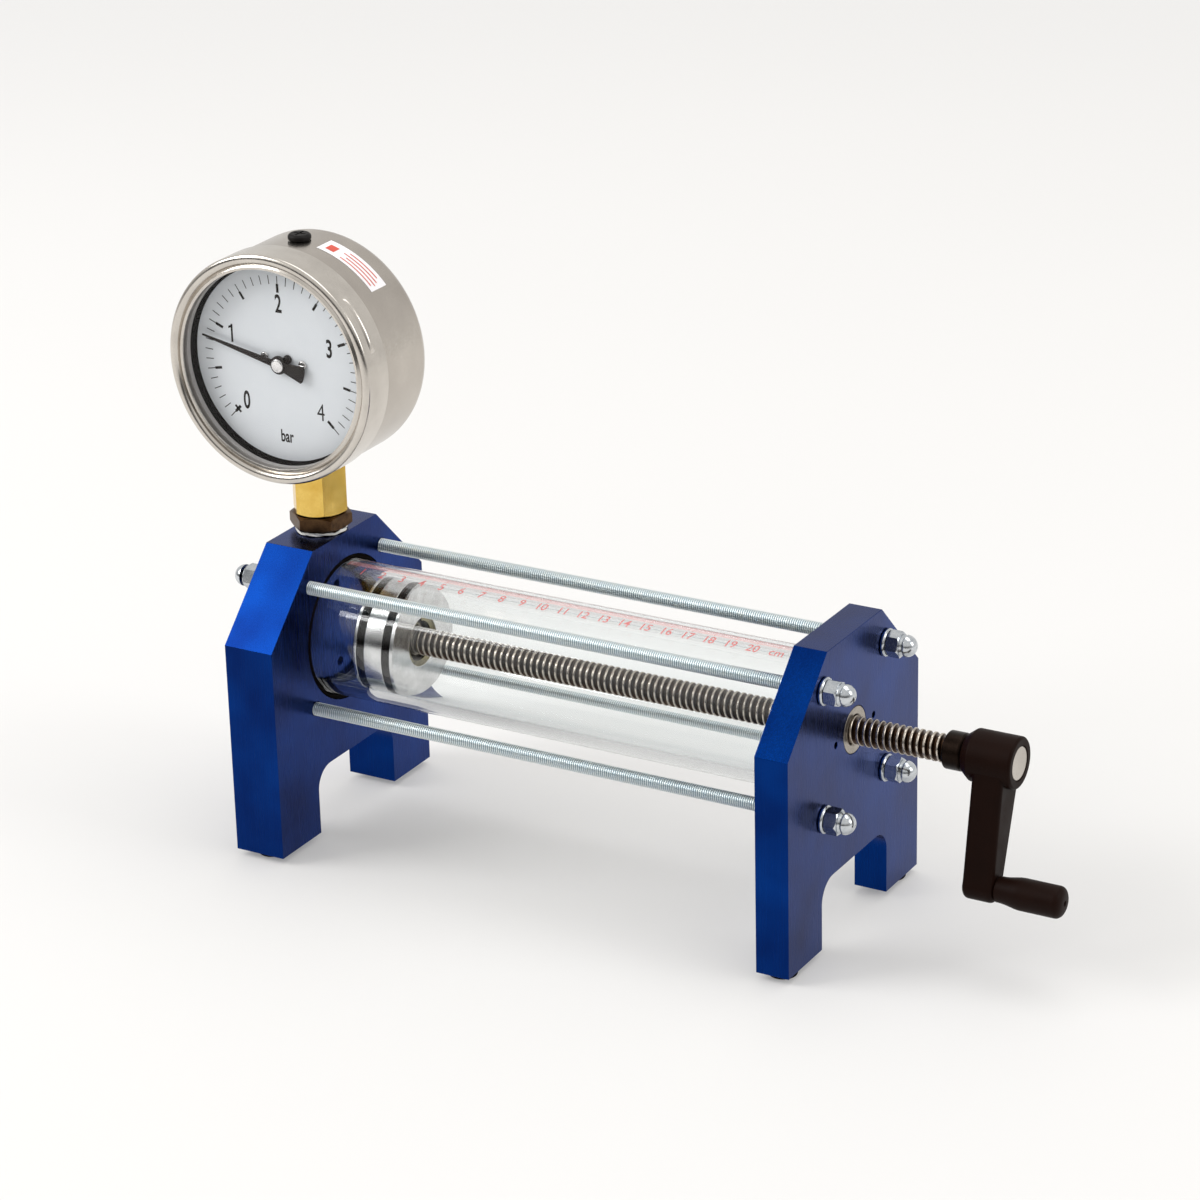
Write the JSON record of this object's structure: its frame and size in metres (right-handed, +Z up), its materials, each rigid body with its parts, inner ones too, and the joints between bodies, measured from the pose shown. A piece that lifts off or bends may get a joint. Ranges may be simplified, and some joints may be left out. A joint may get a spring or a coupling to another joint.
{
  "type": "hand crank air pump with pressure gauge",
  "caption": "Bench gas-law pump: a hand crank drives a piston along a clear cylinder held between two plates, and a round pressure gauge on top reads the trapped air.",
  "frame": {"origin": "on the standing surface, under the middle of the whole apparatus", "axes": "+X along the cylinder from the gauge to the crank, +Z up; the dial faces -Y"},
  "size_m": [0.4084, 0.12, 0.2688],
  "materials": {
    "blue_anodised": "milled and blue anodised, satin",
    "clear_acrylic": "clear, polished",
    "printed_film": "clear film with a red printed scale",
    "zinc_plated_steel": "bright zinc plate",
    "steel": "ground steel, lightly oiled",
    "blackened_steel": "blackened",
    "turned_aluminium": "bright turned",
    "black_rubber": "matt black",
    "dark_phenolic": "moulded, satin black-brown",
    "stainless_steel": "satin, with a polished bezel",
    "instrument_glass": "flat instrument glass",
    "white_dial": "matt white with black print",
    "brass": "machined",
    "dark_bronze": "darkened, machined",
    "ptfe_tape": "white thread tape",
    "pointer_black": "matt black"
  },
  "bodies": {
    "stand": {"bezel_ring": "stainless_steel", "bourdon_tube": "brass", "crank_cap_nut_1": "zinc_plated_steel", "crank_cap_nut_2": "zinc_plated_steel", "crank_cap_nut_3": "zinc_plated_steel", "crank_cap_nut_4": "zinc_plated_steel", "crank_end_seal": "black_rubber", "crank_plate": "blue_anodised", "crank_washer_1": "zinc_plated_steel", "crank_washer_2": "zinc_plated_steel", "crank_washer_3": "zinc_plated_steel", "crank_washer_4": "zinc_plated_steel", "cylinder_tube": "clear_acrylic", "foot_1": "black_rubber", "foot_2": "black_rubber", "foot_3": "black_rubber", "foot_4": "black_rubber", "gauge_cap_nut_1": "zinc_plated_steel", "gauge_cap_nut_2": "zinc_plated_steel", "gauge_cap_nut_3": "zinc_plated_steel", "gauge_cap_nut_4": "zinc_plated_steel", "gauge_case": "stainless_steel", "gauge_dial": "white_dial", "gauge_end_seal": "black_rubber", "gauge_plate": "blue_anodised", "gauge_socket": "brass", "gauge_washer_1": "zinc_plated_steel", "gauge_washer_2": "zinc_plated_steel", "gauge_washer_3": "zinc_plated_steel", "gauge_washer_4": "zinc_plated_steel", "gauge_window": "instrument_glass", "lead_nut": "steel", "movement_back_plate": "brass", "movement_front_plate": "brass", "ptfe_tape": "ptfe_tape", "reducer_bushing": "dark_bronze", "scale_film": "printed_film", "tie_rod_1": "zinc_plated_steel", "tie_rod_2": "zinc_plated_steel", "tie_rod_3": "zinc_plated_steel", "tie_rod_4": "zinc_plated_steel", "vent_plug": "black_rubber", "window_gasket": "black_rubber"},
    "piston": {"piston": "turned_aluminium", "front_o_ring": "black_rubber", "rear_o_ring": "black_rubber", "bearing_outer_ring": "steel", "bearing_retaining_clip": "brass"},
    "crank": {"spindle": "steel", "bearing_inner_ring": "steel", "spindle_end_clip": "blackened_steel", "crank_bushing": "blackened_steel", "crank_arm": "dark_phenolic", "hub_cap": "steel", "grip_pin": "steel"},
    "grip": {"crank_grip": "dark_phenolic"},
    "pointer": {"pointer": "pointer_black", "pinion_arbor": "brass"},
    "sector": {"sector_gear": "brass"},
    "link": {"link_bar": "brass"}
  },
  "joints": [
    {"name": "piston_slide", "type": "slide", "parent": "stand", "child": "piston", "axis": [1, 0, 0], "range_m": [-0.0181, 0.1891]},
    {"name": "crank_turn", "type": "hinge", "parent": "piston", "child": "crank", "pos_m": [0, 0, 0.09], "axis": [1, 0, 0], "range_deg": [-2160, 22680]},
    {"name": "grip_spin", "type": "hinge", "parent": "crank", "child": "grip", "pos_m": [0.1747, -0.0131, 0.03937], "axis": [1, 0, 0], "continuous": true},
    {"name": "sector_turn", "type": "hinge", "parent": "stand", "child": "sector", "pos_m": [-0.1537, 0, 0.1964], "axis": [0, 1, 0], "range_deg": [-23.62, 6.38]},
    {"name": "pointer_turn", "type": "hinge", "parent": "stand", "child": "pointer", "pos_m": [-0.1537, 0, 0.2164], "axis": [0, 1, 0], "range_deg": [-57.4, 212.6]},
    {"name": "link_turn", "type": "hinge", "parent": "sector", "child": "link", "pos_m": [-0.15678, 0, 0.18794], "axis": [0, 1, 0], "range_deg": [-5.6, 20.4]}
  ],
  "couplings": [
    {"joint": "piston_slide", "follows": "crank_turn", "m_per_rad": 0.00047746},
    {"joint": "pointer_turn", "follows": "sector_turn", "ratio": -9},
    {"joint": "link_turn", "follows": "sector_turn", "ratio": -0.86}
  ]
}
